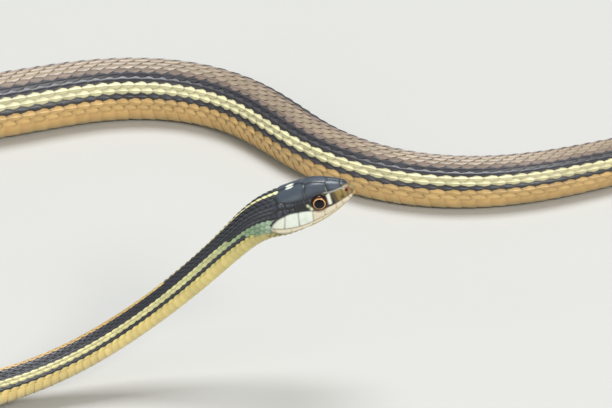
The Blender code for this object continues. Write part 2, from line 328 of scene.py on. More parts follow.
@dataclass(frozen=True)
class Markings:
    """The stripes, as edges that shift along the body, and the colours between them.

    Edges are (place, share of the way round) stations, and colours (place, colour) stations.

    Args:
        back: Edge of the stripe down the back.
        side_top: Upper edge of the stripe down the side.
        side_bottom: Its lower edge.
        lower: Lower edge of the dark line under it.
        dark_colours: The dark bands.
        umber: The brown that rims the back's stripe on the trunk.
        border: Width of that rim, as a share of the way round.
        umber_from: Where the rim comes in, and over what length.
        back_colours: The stripe down the back.
        side_colours: The stripe down the side.
        belly_colours: The side under the dark line, and the belly's edge.
        under: The belly's middle.
        pale: The share of the way round where the belly pales, and over how much of it.
        pale_from: Where the belly's paling comes in, and over what length.
    """

    back: tuple = ((15, 0.03), (40, 0.05), (60, 0.085), (112, 0.10), (150, 0.13), (230, 0.165), (345, 0.17),
                   (470, 0.165), (556, 0.14), (640, 0.10), (768, 0.10))
    side_top: tuple = ((18, 0.42), (21.5, 0.41), (24, 0.405), (40, 0.345), (112, 0.345), (190, 0.31),
                       (300, 0.284), (490, 0.284), (540, 0.315), (768, 0.32))
    side_bottom: tuple = ((18, 0.62), (24.4, 0.62), (25.4, 0.495), (40, 0.473), (112, 0.47), (200, 0.43),
                          (300, 0.412), (490, 0.412), (540, 0.455), (768, 0.47))
    lower: tuple = ((18, 0.62), (23.9, 0.62), (24.6, 0.575), (40, 0.545), (112, 0.54), (200, 0.49),
                    (300, 0.474), (490, 0.474), (540, 0.53), (768, 0.53))
    dark_colours: tuple = ((19, (22, 24, 30)), (110, (28, 29, 35)), (220, (54, 54, 62)), (768, (58, 56, 60)))
    umber: tuple = (140, 122, 108)
    border: float = 0.06
    umber_from: tuple = (150.0, 60.0)
    back_colours: tuple = ((15, (236, 236, 176)), (28, (224, 210, 138)), (60, (200, 164, 96)),
                           (130, (178, 148, 102)), (240, (170, 146, 112)), (400, (162, 144, 122)),
                           (768, (158, 140, 112)))
    side_colours: tuple = ((19, (182, 206, 176)), (23, (132, 162, 126)), (27, (156, 180, 130)),
                           (36, (214, 212, 152)), (60, (228, 220, 158)), (150, (232, 224, 172)),
                           (300, (232, 226, 180)), (768, (216, 204, 154)))
    # The belly's first station, olive under the jaw, is partly painted shade under the head, as on the throat
    belly_colours: tuple = ((14, (168, 158, 92)), (30, (222, 210, 132)), (60, (242, 222, 142)),
                            (120, (236, 208, 134)), (220, (230, 188, 116)), (400, (228, 188, 120)),
                            (768, (206, 174, 118)))
    under: tuple = (224, 212, 164)
    pale: tuple = (0.66, 0.2)
    pale_from: tuple = (30.0, 60.0)

    @staticmethod
    def along(stations: tuple, place: np.ndarray) -> np.ndarray:
        """Read a colour that changes along the body.

        Args:
            stations: Pairs of a place and a colour.
            place: Where the colour is read.

        Returns:
            The colour at each place.
        """
        places = [at for at, _ in stations]
        tones = np.array([linear(*tone) for _, tone in stations])
        return np.stack([np.interp(place, places, tones[:, k]) for k in range(3)], axis=-1)

    def at(self, place: np.ndarray, share: np.ndarray) -> np.ndarray:
        """Colour points of the body.

        Args:
            place: Distance down the body.
            share: Share of the way round.

        Returns:
            The colour at each point.
        """
        around = np.abs(share)[..., None]
        back_edge, top, bottom, lower = (
            through(edge, place)[..., None]
            for edge in (self.back, self.side_top, self.side_bottom, self.lower))
        back = self.along(self.back_colours, place)
        rim = (around > back_edge - self.border) * ramp(place, *self.umber_from)[..., None]
        back = back + (linear(*self.umber) - back) * rim
        tone = np.where(around < back_edge, back, self.along(self.dark_colours, place))
        tone = np.where((around >= top) & (around < bottom), self.along(self.side_colours, place), tone)
        belly = self.along(self.belly_colours, place)
        pale = ramp(around, *self.pale)
        belly = belly + (linear(*self.under) - belly) * pale * ramp(place, *self.pale_from)[..., None]
        return np.where(around >= lower, belly, tone)


def mesh_object(name: str, points: np.ndarray, loops: np.ndarray, sizes: np.ndarray) -> bpy.types.Object:
    """Make a smooth-shaded mesh object.

    Args:
        name: The piece's name.
        points: Its vertices, in metres.
        loops: The vertex of each face corner, face after face.
        sizes: How many corners each face has.

    Returns:
        The object, in the scene.
    """
    starts = np.concatenate([[0], np.cumsum(sizes)[:-1]])
    mesh = bpy.data.meshes.new(name)
    mesh.vertices.add(len(points))
    mesh.vertices.foreach_set("co", points.astype(np.float32).ravel())
    mesh.loops.add(len(loops))
    mesh.loops.foreach_set("vertex_index", loops.astype(np.int32))
    mesh.polygons.add(len(starts))
    mesh.polygons.foreach_set("loop_start", starts.astype(np.int32))
    mesh.update(calc_edges=True)
    mesh.validate()
    mesh.shade_smooth()
    piece = bpy.data.objects.new(name, mesh)
    bpy.context.scene.collection.objects.link(piece)
    return piece


def paint(piece: bpy.types.Object, colours: np.ndarray, **numbers: np.ndarray) -> None:
    """Store looks for each vertex of a piece.

    Args:
        piece: The piece.
        colours: Its colours, kept as the attribute pigment.
        numbers: Other values, kept as attributes under their own names.
    """
    rgba = np.concatenate([colours, np.ones((len(colours), 1))], axis=1)
    layer = piece.data.attributes.new("pigment", "FLOAT_COLOR", "POINT")
    layer.data.foreach_set("color", rgba.astype(np.float32).ravel())
    for name, values in numbers.items():
        piece.data.attributes.new(name, "FLOAT", "POINT").data.foreach_set("value", values.astype(np.float32))


def settle(piece: bpy.types.Object, slot: str, *nodes: str) -> None:
    """Put a finished piece in the frame, and report it.

    Args:
        piece: The piece, which rides on the body.
        slot: Name of a material slot; not used.
        nodes: The nodes it stands for, if any.
    """
    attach(piece, ROOT)
    if nodes:
        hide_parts(*nodes)
    triangles = sum(len(face.vertices) - 2 for face in piece.data.polygons)
    log.info("%s: %d triangles", piece.name, triangles)


class Socket:
    """A shader socket that takes part in sums, so that an expression on values adds its Math nodes."""

    def __init__(self, tree: "Shader", link: bpy.types.NodeSocket) -> None:
        """Wrap an output socket of a tree."""
        self.tree = tree
        self.link = link

    def _math(self, operation: str, *values: object) -> "Socket":
        """Add a Math node."""
        return self.tree.node("ShaderNodeMath", {"operation": operation}, dict(enumerate(values)))

    def __add__(self, other: object) -> "Socket":
        """Add."""
        return self._math("ADD", self, other)

    def __sub__(self, other: object) -> "Socket":
        """Subtract."""
        return self._math("SUBTRACT", self, other)

    def __rsub__(self, other: object) -> "Socket":
        """Subtract from a number."""
        return self._math("SUBTRACT", other, self)

    def __mul__(self, other: object) -> "Socket":
        """Multiply."""
        return self._math("MULTIPLY", self, other)

    __radd__ = __add__
    __rmul__ = __mul__


class Shader:
    """One material's node tree round its Principled BSDF."""

    def __init__(self, name: str) -> None:
        """Start a material."""
        self.material = bpy.data.materials.new(name)
        self.material.use_nodes = True
        self.nodes = self.material.node_tree.nodes
        self.surface = self.nodes["Principled BSDF"]

    def node(self, kind: str, settings: dict, inputs: dict, output: int | str = 0) -> Socket:
        """Add a node.

        Args:
            kind: The node's type.
            settings: Its properties, set first; "stops" holds a colour ramp's (position, colour) pairs.
            inputs: Values or sockets for its inputs, by name or number.
            output: The output wanted.

        Returns:
            That output.
        """
        made = self.nodes.new(kind)
        for key, value in settings.items():
            if key == "stops":
                elements = made.color_ramp.elements
                while len(elements) < len(value):
                    elements.new(0.5)
                for element, (position, colour) in zip(elements, value):
                    element.position = position
                    element.color = (*colour, 1.0)
            else:
                setattr(made, key, value)
        for key, value in inputs.items():
            self.feed(made.inputs[key], value)
        return Socket(self, made.outputs[output])

    def feed(self, socket: bpy.types.NodeSocket, value: object) -> None:
        """Link a socket to an input, or set the input's own value.

        Args:
            socket: The input.
            value: A Socket to link, or the value to set.
        """
        if isinstance(value, Socket):
            self.material.node_tree.links.new(value.link, socket)
        else:
            socket.default_value = value

    def attribute(self, name: str, output: str) -> Socket:
        """Read an attribute of the piece."""
        return self.node("ShaderNodeAttribute", {"attribute_name": name}, {}, output)

    def noise(self, size: float, detail: float = 3.0) -> Socket:
        """Make soft noise on the piece's own coordinates, of features about a size in millimetres."""
        inputs = {"Vector": self.node("ShaderNodeTexCoord", {}, {}, "Object"), "Scale": 1.0 / (size * MM)}
        return self.node("ShaderNodeTexNoise", {}, {**inputs, "Detail": detail}, "Fac")

    def mix(self, share: object, first: object, second: object, blend: str = "MIX") -> Socket:
        """Mix two colours."""
        settings = {"data_type": "RGBA", "blend_type": blend}
        return self.node("ShaderNodeMix", settings, {0: share, 6: first, 7: second}, 2)

    def bump(self, height: Socket, distance: float) -> Socket:
        """Turn a height into a normal; the distance is in millimetres."""
        return self.node("ShaderNodeBump", {}, {"Height": height, "Distance": distance * MM}, "Normal")

    def finish(self, links: dict, **constants: object) -> bpy.types.Material:
        """Set the surface's inputs.

        Args:
            links: Sockets for the inputs that change over the surface, by their names.
            constants: Values for the others, by their names with _ for a space.

        Returns:
            The material.
        """
        for key, value in {**links, **constants}.items():
            self.feed(self.surface.inputs[key.replace("_", " ")], value)
        return self.material


@dataclass(frozen=True)
class HornFinish:
    """Satin horn, coloured by the piece's pigment, with faint mottling and a fine grain.

    Args:
        name: The material's name.
        roughness: Its middle roughness.
        grain: Size of the grain, in millimetres.
        relief: Depth of the grain, in millimetres.
        coat: Strength of the clear layer over it.
        mottle: Size of the mottling, in millimetres.
        speck: Size of the fine specks, in millimetres.
        dark: The mottling's colour.
        dust: The specks' colour, which multiplies what is under it.
    """

    name: str
    roughness: float
    grain: float
    relief: float
    coat: float
    mottle: float = 1.6
    speck: float = 0.22
    dark: tuple = (0.02, 0.02, 0.018, 1.0)
    dust: tuple = (0.6, 0.62, 0.6, 1.0)

    def material(self) -> bpy.types.Material:
        """Make the material.

        Returns:
            The material.
        """
        shader = Shader(self.name)
        pigment = shader.attribute("pigment", "Color")
        mottle = shader.noise(self.mottle, 4.0)
        speck = shader.noise(self.speck, 2.0)
        darker = shader.mix(mottle * 0.3, pigment, self.dark)
        colour = shader.mix(speck * 0.16, darker, self.dust, "MULTIPLY")
        wear = shader.attribute("wear", "Fac")
        rough = mottle * 0.16 + (self.roughness - 0.08) + wear * 0.25
        normal = shader.bump(shader.noise(self.grain, 2.0), self.relief)
        return shader.finish({"Base Color": colour, "Roughness": rough, "Normal": normal},
                             Coat_Weight=self.coat, Coat_Roughness=0.25, IOR=1.5)


@dataclass(frozen=True)
class EyeFinish:
    """A wet eye: black pupil, pale gold ring, orange-brown iris with fine spokes, and a dark rim.

    Args:
        pupil: Radius of the pupil, as a share of the eye's.
        ring: Outer radius of the gold ring.
        iris: Outer radius of the iris.
    """

    pupil: float = 0.69
    ring: float = 0.765
    iris: float = 0.88

    def material(self) -> bpy.types.Material:
        """Make the material; the eye's attribute radius runs from 0 in the middle to 1 at its edge.

        Returns:
            The material.
        """
        shader = Shader("eye")
        radius = shader.attribute("radius", "Fac")
        ragged = radius + (shader.noise(0.16, 3.0) - 0.5) * 0.035
        stops = ((0.0, linear(4, 5, 7)), (self.pupil - 0.01, linear(5, 6, 8)),
                 (self.pupil + 0.012, linear(240, 206, 140)), (self.ring, linear(224, 168, 96)),
                 (self.ring + 0.04, linear(136, 70, 34)), (self.iris, linear(70, 36, 22)),
                 (0.96, linear(20, 14, 12)))
        colour = shader.node("ShaderNodeValToRGB", {"stops": stops}, {"Fac": ragged}, "Color")
        spokes = shader.noise(0.07, 3.0)
        colour = shader.mix(spokes * 0.35, colour, (0.35, 0.3, 0.25, 1.0), "MULTIPLY")
        return shader.finish({"Base Color": colour}, Roughness=0.3, Coat_Weight=1.0, Coat_Roughness=0.02,
                             Coat_IOR=1.33, IOR=1.1)


@dataclass(frozen=True)
class FloorFinish:
    """Plain pale matt board.

    Args:
        colour: Its colour, of 0 to 255.
        clouds: Size of its faint clouding, in millimetres.
    """

    colour: tuple = (182, 181, 176)
    clouds: float = 35.0

    def material(self) -> bpy.types.Material:
        """Make the material.

        Returns:
            The material.
        """
        shader = Shader("floor")
        tone = linear(*self.colour)
        colour = shader.mix(shader.noise(self.clouds, 3.0) * 0.25, (*tone, 1.0), (*(tone * 0.93), 1.0))
        return shader.finish({"Base Color": colour}, Roughness=0.75)


class Band(Enum):
    """A strip of the head between two lines that run along it."""

    CROWN = ("middle", "crown")
    FRONTAL = ("middle", "frontal")
    BROW = ("frontal", "crown")
    CHEEK = ("crown", "lip")
    UPPER_LIP = ("lip", "mouth")
    UNDER = ("mouth", "throat")


class Tone(Enum):
    """The colours of the head's plates, of 0 to 255."""

    # The crown's own dark blue-grey, lightened part way by painted reflection of the sky
    SLATE = (60, 71, 82)
    DARK = (20, 22, 28)
    TEMPLE = (30, 34, 44)
    OLIVE = (150, 126, 62)
    CREAM = (240, 228, 198)
    WHITE = (244, 248, 230)
    MINT = (242, 250, 236)
    ROSTRAL = (218, 172, 112)
    LOWER_LIP = (248, 240, 210)
    CHIN = (206, 192, 132)
    # Partly the throat's own olive, partly painted shade under the head
    THROAT = (168, 154, 84)


class Mark(Enum):
    """The colours laid over the plates, of 0 to 255."""

    # Partly the crown plates' own dark rims, partly painted: the darker rims leave lighter middles as painted
    # sheen
    CROWN_EDGE_AND_SHEEN = (24, 29, 38)
    SNOUT = (150, 128, 76)
    SNOUT_BAND = (70, 58, 38)
    SNOUT_SPOT = (66, 50, 34)
    CHEEK = (24, 25, 30)
    # Partly the brow ridge's own pale edging, partly a painted highlight along it
    PALE_BROW_AND_HIGHLIGHT = (232, 230, 214)
    LID = (150, 92, 54)
    UNDER_EYE = (96, 60, 52)
    BAR = (250, 248, 226)
    EYE_SPOT = (240, 242, 200)
    CROWN_SPOT = (246, 248, 230)
    FRONT_LIP_SEAM = (128, 96, 60)
    REAR_LIP_SEAM = (24, 28, 28)
    CHIN_SEAM = (150, 120, 76)
    # Painted highlight: the lighter bluish middles of the scales behind the eye
    TEMPLE_PAINTED_HIGHLIGHT = (74, 86, 106)
    TEMPLE_SEAM = (8, 9, 12)
    DARK_SEAM = (12, 13, 17)
    NOSTRIL = (58, 24, 16)
    NOSTRIL_RIM = (150, 66, 38)
    MOUTH_LINE = (60, 40, 30)
    LIP_BLUSH = (226, 178, 130)
    # Painted shade in the eye's socket
    SOCKET_SHADE = (12, 12, 14)


@dataclass(frozen=True)
class Plate:
    """One plate of the head, as a stretch of a band.

    Args:
        band: The band it lies in.
        part: The part of the band's width that it takes.
        front: Place of its front edge, at the band's inner line, a quarter across, and the outer line.
        back: The same for its back edge.
        tone: Its colour.
        dome: How far its middle rises, in millimetres.
    """

    band: Band
    part: tuple
    front: tuple
    back: tuple
    tone: Tone
    dome: float = 0.05

    @property
    def sharpness(self) -> float:
        """Give how sharp its corners are: those of the temples' scales are round."""
        return 4.5 if self.tone is Tone.TEMPLE else 12.0

    def within(self, at: np.ndarray, far: np.ndarray, inner: np.ndarray, outer: np.ndarray) -> np.ndarray:
        """Measure how far within the plate's edges points lie.

        Args:
            at: Place of each point.
            far: Its distance round from the back's middle.
            inner: Distance round to the band's inner line.
            outer: Distance round to its outer line.

        Returns:
            The distance to the nearest edge, below 0 outside the plate.
        """
        wide = np.maximum(outer - inner, 1e-3)
        t = (far - inner) / wide
        low = (t - self.part[0]) * wide
        high = (self.part[1] - t) * wide
        front, back = (np.interp(t, (0.0, BEND_AT, 1.0), edge) for edge in (self.front, self.back))
        if self.band is Band.FRONTAL:
            low = np.full_like(low, FAR_OFF)
        sides = np.clip(np.stack([low, high, at - front, back - at]), -3.0, FAR_OFF)
        return -np.log(np.exp(-self.sharpness * sides).sum(axis=0)) / self.sharpness


def row(band: Band, part: tuple, edges: tuple, slant: float, tones: tuple, dome: float = 0.05) -> list[Plate]:
    """Divide a band into plates.

    Args:
        band: The band.
        part: The part of its width that the row takes.
        edges: Places of the edges between plates, at the band's inner line.
        slant: How far back they lie at the outer line, as a share of their place.
        tones: The plates' colours, the last one kept for the rest.
        dome: How far the plates' middles rise.

    Returns:
        The plates.
    """
    plates = []
    for k, (front, back) in enumerate(zip(edges, edges[1:])):
        ends = [(edge, edge * (1.0 + slant * BEND_AT), edge * (1.0 + slant)) for edge in (front, back)]
        plates.append(Plate(band, part, *ends, tones[min(k, len(tones) - 1)], dome))
    return plates


@dataclass(frozen=True)
class Rings:
    """Half rings round the head: arrays with a row a ring, from the back's middle to the throat's.

    Args:
        at: Place of each point.
        left: Its distance from the middle.
        height: Its height over the centre line.
        far: Its distance round from the back's middle.
    """

    at: np.ndarray
    left: np.ndarray
    height: np.ndarray
    far: np.ndarray

    @property
    def share(self) -> np.ndarray:
        """Give each point's share of the way round."""
        return self.far / self.far[:, -1:]


@dataclass(frozen=True)
class Features:
    """What the head's relief and its colours both follow, for each point of its rings.

    Args:
        lines: Distance round to each line that runs along the head, a row a ring.
        inside: Distance within the edge of the plate it is on.
        which: Number of that plate.
        rostral: Whether it is on the plate at the snout's tip instead.
        ring: Distance from the eye's middle.
        mouth: Distance from the mouth's line.
        nostril: Distance from the nostril's middle.
    """

    lines: dict
    inside: np.ndarray
    which: np.ndarray
    rostral: np.ndarray
    ring: np.ndarray
    mouth: np.ndarray
    nostril: np.ndarray


@dataclass
class Head:
    """The head's relief and colours, worked out on a grid of one side and mirrored.

    Args:
        crown: Line along the crown's edge, as (place, height over the centre line).
        lip: Line along the top of the upper lip, given alike.
        frontal: Edge of the frontal plate, as (place, distance from the middle).
        coat_from: Where the scales begin, as (share of the way round, place).
        groove: Depth of the seams between plates.
        crown_share: That on the crown, as a share of it.
        groove_width: Width of a seam's slope.
        dome_width: How far in a plate has its full height.
        sunk: How far the plates lie within the solid, before their domes and seams.
        brow_line: Height of the ridge along the crown's edge.
        lip_fold: Depth of the hollow under the mouth's line.
        mouth_slit: Depth of the mouth's line.
        lid: Height of the rim over the eye.
        eye_pit: Depth of the eye's socket.
        nostril_pit: Depth of the nostril.
        nostril_rim: Height of its rim.
        nostril: Place and height of its middle.
        rostral: Half width, top and back edge of the plate at the snout's tip.
        flank: Distance from the middle past which a point is on the head's side.
        stripes_from: Place from which the stripes are read behind the head.
    """

    crown: tuple = ((0, -0.2), (0.95, 0.5), (2.75, 0.95), (4.45, 1.3), (5.7, 1.8), (7.3, 2.05), (9.0, 2.2),
                    (11.4, 2.6), (13.8, 3.3), (16.0, 4.0), (22.0, 4.0))
    lip: tuple = ((0, -1.3), (2.5, -1.35), (4.5, -1.4), (7.0, -1.2), (8.4, -0.9), (9.6, -0.3), (11.0, 0.3),
                  (12.4, 0.7), (14.5, 1.1), (16.5, 0.95), (18.2, 0.3), (19.4, -0.4), (22.0, -0.5))
    frontal: tuple = ((0, 1.2), (4.9, 1.3), (7.0, 1.12), (9.0, 1.22), (22.0, 1.3))
    coat_from: tuple = ((0, 15.5), (0.1, 16.0), (0.2, 16.3), (0.3, 16.6), (0.4, 17.0), (0.44, 18.0),
                        (0.5, 19.3), (0.58, 19.5), (0.66, 18.6), (0.72, 17.6), (0.78, 13.0), (0.86, 11.6),
                        (1.0, 11.2))
    groove: float = 0.11
    crown_share: float = 0.7
    groove_width: float = 0.19
    dome_width: float = 0.75
    sunk: float = 0.06
    brow_line: float = 0.05
    lip_fold: float = 0.12
    mouth_slit: float = 0.3
    lid: float = 0.07
    eye_pit: float = 1.15
    nostril_pit: float = 0.38
    nostril_rim: float = 0.04
    nostril: tuple = (1.25, -0.05)
    rostral: tuple = (1.05, 0.1, 1.25)
    flank: float = 1.5
    stripes_from: float = 15.0
    plates: list = field(init=False)

    def __post_init__(self) -> None:
        """List the plates."""
        slate, dark, temple = Tone.SLATE, Tone.DARK, Tone.TEMPLE
        white, mint, cream = Tone.WHITE, Tone.MINT, Tone.CREAM
        self.plates = [
            Plate(Band.CROWN, (0, 1), (0.5, 0.5, 0.6), (2.1, 2.0, 1.9), slate),
            Plate(Band.CROWN, (0, 1), (2.1, 2.0, 1.9), (4.3, 4.9, 4.8), slate),
            Plate(Band.FRONTAL, (0, 1), (4.3, 4.5, 4.9), (10.3, 9.9, 9.0), slate),
            Plate(Band.BROW, (0, 1), (4.9, 4.85, 4.8), (9.0, 9.2, 9.6), slate),
            Plate(Band.CROWN, (0, 1), (10.3, 9.0, 9.6), (15.2, 16.2, 15.7), slate),
            *row(Band.CHEEK, (0, 1), (0.45, 1.3, 2.3, 4.3, 5.75), 0.0, (Tone.OLIVE,) * 3 + (dark,)),
            Plate(Band.CHEEK, (0, 1), (5.75,) * 3, (8.7,) * 3, dark),
            *row(Band.CHEEK, (0.0, 0.36), (8.7, 9.9), 0.01, (dark,), 0.09),
            *row(Band.CHEEK, (0.36, 0.68), (8.8, 10.0), 0.01, (dark,), 0.09),
            *row(Band.CHEEK, (0.68, 1.0), (8.7, 9.9), -0.03, (dark,), 0.09),
            *row(Band.CHEEK, (0, 1), (9.95, 12.3), 0.02, (dark,), 0.07),
            *row(Band.CHEEK, (0.0, 0.48), (12.3, 14.3, 15.8, 17.2), 0.02, (temple,), 0.15),
            *row(Band.CHEEK, (0.48, 1.0), (12.5, 13.6, 15.1, 16.6, 18.0), 0.02, (temple,), 0.15),
            *row(Band.UPPER_LIP, (0, 1), (0.75, 1.4, 3.0, 4.4, 6.9, 9.3, 12.2, 15.15, 19.3), 0.1,
                 (cream,) * 5 + (mint,) * 2 + (white,), 0.09),
            *row(Band.UNDER, (0.0, 0.2), (1.0, 2.0, 3.2, 4.6, 6.2, 8.3, 10.8, 13.2, 15.6, 18.6), 0.04,
                 (Tone.LOWER_LIP,), 0.07),
            Plate(Band.UNDER, (0.2, 1), (0.7,) * 3, (2.1, 2.0, 1.9), Tone.CHIN),
            Plate(Band.UNDER, (0.2, 1), (2.1, 2.0, 1.9), (6.6, 6.5, 6.0), Tone.CHIN),
            Plate(Band.UNDER, (0.2, 0.98), (6.6, 6.5, 6.0), (12.4, 12.0, 10.6), Tone.CHIN),
        ]

    def lines(self, rings: Rings) -> dict:
        """Find how far round each ring the head's lines lie.

        Args:
            rings: The head's half rings.

        Returns:
            A column of distances for each line.
        """
        place, far = rings.at[:, 0], rings.far
        found = {"middle": np.zeros(len(place)), "throat": far[:, -1]}
        for name, line in (("crown", self.crown), ("lip", self.lip), ("mouth", MOUTH)):
            found[name] = np.array([np.interp(-level, -heights, row_far) for level, heights, row_far
                                    in zip(through(line, place), rings.height, far)])
        upper = rings.left.shape[1] // 4
        found["frontal"] = np.array([
            np.interp(reach, lefts[:upper], row_far[:upper])
            for reach, lefts, row_far in zip(through(self.frontal, place), rings.left, far)])
        return {name: column[:, None] for name, column in found.items()}

    def features(self, rings: Rings) -> Features:
        """Find the plates, and how far the eye, mouth and nostril are.

        Args:
            rings: The head's half rings.

        Returns:
            What was found, for each point.
        """
        at, left, height, far = rings.at, rings.left, rings.height, rings.far
        lines = self.lines(rings)
        inside = np.full(left.shape, -FAR_OFF)
        which = np.zeros(left.shape, int)
        for k, plate in enumerate(self.plates):
            within = plate.within(at, far, *(lines[name] for name in plate.band.value))
            which = np.where(within > inside, k, which)
            inside = np.maximum(within, inside)
        half_width, top, back = self.rostral
        rostral = np.minimum(np.minimum(half_width - left, top - height), back - at)
        on_rostral = rostral > np.minimum(inside, 0.0)
        inside = np.where(on_rostral, rostral, np.where(at < 1.5, np.minimum(inside, -rostral), inside))
        ring = np.hypot(at - EYE_PLACE, height - EYE_HEIGHT)
        ring = np.where(left > self.flank, ring, FAR_OFF)
        inside = np.where(ring < 3.0, np.minimum(inside, ring - 1.62), inside)
        mouth = np.abs(far - lines["mouth"]) + FAR_OFF * (at > JAW_CORNER)
        nostril = np.hypot((at - self.nostril[0]) / 1.15, height - self.nostril[1]) + FAR_OFF * (left < 0.9)
        return Features(lines, inside, which, on_rostral, ring, mouth, nostril)

    def relief(self, rings: Rings, found: Features) -> np.ndarray:
        """Work out how far the head's skin stands over the solid's surface.

        Args:
            rings: The head's half rings.
            found: Its features.

        Returns:
            The height at each point.
        """
        at, far, lines, ring = rings.at, rings.far, found.lines, found.ring
        groove = self.groove * np.where(far < lines["crown"], self.crown_share, 1.0)
        relief = -groove * (1.0 - ramp(found.inside, 0.0, self.groove_width))
        rise = np.array([plate.dome for plate in self.plates])[found.which]
        relief += rise * (1.0 - (1.0 - np.clip(found.inside / self.dome_width, 0.0, 1.0)) ** 2) - self.sunk
        brow = self.brow_line * np.exp(-((far - lines["crown"]) / 0.25) ** 2)
        relief += brow * ramp(-at, -5.8, 0.8) * ramp(at, 0.8, 0.8)
        under_lip = ramp(-np.abs(far - lines["mouth"]), -0.75, 0.75) * (far > lines["mouth"])
        relief -= self.lip_fold * under_lip * ramp(-at, -19.0, 3.0)
        relief -= self.mouth_slit * (1.0 - ramp(found.mouth, 0.04, 0.16))
        lid = self.lid * np.exp(-((ring - 1.72) / 0.16) ** 2)
        relief += lid * ramp(rings.height, EYE_HEIGHT - 0.2, 1.2)
        relief -= self.eye_pit * (1.0 - ramp(ring, 1.2, 0.34))
        relief -= self.nostril_pit * (1.0 - ramp(found.nostril, 0.1, 0.22))
        relief += self.nostril_rim * np.exp(-((found.nostril - 0.36) / 0.12) ** 2)
        under_scales = keel_room(at) + coat_depth(at) - SKIN_LIFT
        sloped = ramp(at - through(self.coat_from, rings.share), -0.9, 1.2)
        return relief * (1.0 - sloped) - under_scales * sloped

    def form(self, rings: Rings, markings: Markings) -> tuple[np.ndarray, ...]:
        """Shape and colour the head's skin, and let it run in under the scales.

        Args:
            rings: The head's half rings.
            markings: The stripes behind the head.

        Returns:
            For each point, the height over the solid's surface, the colour, and the wear.
        """
        found = self.features(rings)
        covered = ramp(rings.at - through(self.coat_from, rings.share), 0.0, 0.3)
        colour = self.colours(rings, found)
        behind = markings.at(np.maximum(rings.at, self.stripes_from), rings.share) * BETWEEN_SCALES
        colour = colour + (behind - colour) * covered[..., None]
        wear = 0.4 * (1.0 - ramp(found.inside, 0.0, 0.2)) * (1.0 - covered) + SKIN_WEAR * covered
        return self.relief(rings, found), colour, wear

    def colours(self, rings: Rings, found: Features) -> np.ndarray:
        """Colour the head's plates, their seams and the marks on them, some of them painted highlights and
        shade.

        Args:
            rings: The head's half rings.
            found: Its features.

        Returns:
            The colour at each point.
        """
        at, height, far, lines = rings.at, rings.height, rings.far, found.lines
        inside, ring, mouth, nostril = found.inside, found.ring, found.mouth, found.nostril
        colour = np.array([linear(*plate.tone.value) for plate in self.plates])[found.which]
        colour = np.where(found.rostral[..., None], linear(*Tone.ROSTRAL.value), colour)

        def lay(tone: Enum, mask: np.ndarray) -> None:
            """Lay a tone over the colours where a mask says."""
            nonlocal colour
            colour = colour + (linear(*tone.value) - colour) * np.clip(mask, 0.0, 1.0)[..., None]

        above_lip = far < lines["lip"]
        upper = far < lines["mouth"]
        beside = far > lines["crown"]
        flank = rings.left > self.flank
        # The crown's plates darken towards their edges: partly their own dark rims, partly painted sheen, the
        # lighter middles standing in for light on their domes
        lay(Mark.CROWN_EDGE_AND_SHEEN, 0.75 * (1.0 - ramp(inside, 0.1, 0.8)) * (far < lines["crown"]))
        lay(Mark.SNOUT, ramp(-at, -2.4, 1.2) * (far > lines["crown"] - 0.5) * above_lip)
        lay(Mark.SNOUT_BAND, 0.85 * ramp(-np.abs(at - 3.9), -0.55, 0.4) * beside * above_lip)
        lay(Mark.SNOUT_SPOT, 0.8 * ramp(-np.hypot((at - 2.6) / 1.2, height + 0.75), -0.5, 0.35))
        lay(Mark.CHEEK, ramp(at, 4.2, 0.5) * ramp(-(far - lines["lip"]), -0.05, 0.25) * above_lip
            * ramp(far - lines["crown"], 0.0, 0.1))
        # A near-white line along the crown's edge: partly its own pale edging, partly a painted highlight on
        # the ridge
        lay(Mark.PALE_BROW_AND_HIGHLIGHT, ramp(-np.abs(far - lines["crown"] + 0.05), -0.19, 0.12) * ramp(at, 0.7, 0.5)
            * ramp(-at, -6.1, 0.7))
        before_eye = ramp(-(at - EYE_PLACE), -0.9, 1.0)
        lay(Mark.LID, 0.8 * ramp(-np.abs(ring - 1.6), -0.24, 0.18) * before_eye)
        below_eye = ramp(-(height - EYE_HEIGHT), 0.3, 0.6)
        lay(Mark.UNDER_EYE, 0.6 * ramp(-np.abs(ring - 1.75), -0.35, 0.2) * below_eye)
        bar = ramp(-np.abs(at - 5.2 + 0.16 * height), -0.44, 0.14)
        lay(Mark.BAR, bar * ramp(height, -1.05, 0.25) * ramp(-height, -1.35, 0.2) * flank)
        for place, level, size in ((9.75, 0.95, 0.38), (9.45, 0.15, 0.5)):
            spot = ramp(-np.hypot(at - place, (height - level) / 1.3), -size, 0.16)
            lay(Mark.EYE_SPOT, spot * flank)
        spot = ramp(-np.hypot((at - 12.6) / 2.3, far - 0.46), -0.46, 0.12)
        lay(Mark.CROWN_SPOT, spot * (height > 3.0))
        seam = 1.0 - ramp(inside, 0.015, 0.1)
        lip = upper & ~above_lip
        lay(Mark.FRONT_LIP_SEAM, 0.75 * seam * lip)
        lay(Mark.REAR_LIP_SEAM, 0.9 * seam * lip * ramp(at, 9.0, 2.5))
        lay(Mark.CHIN_SEAM, 0.4 * seam * ~upper)
        behind_eye = ramp(at, 9.0, 1.0) * beside * above_lip
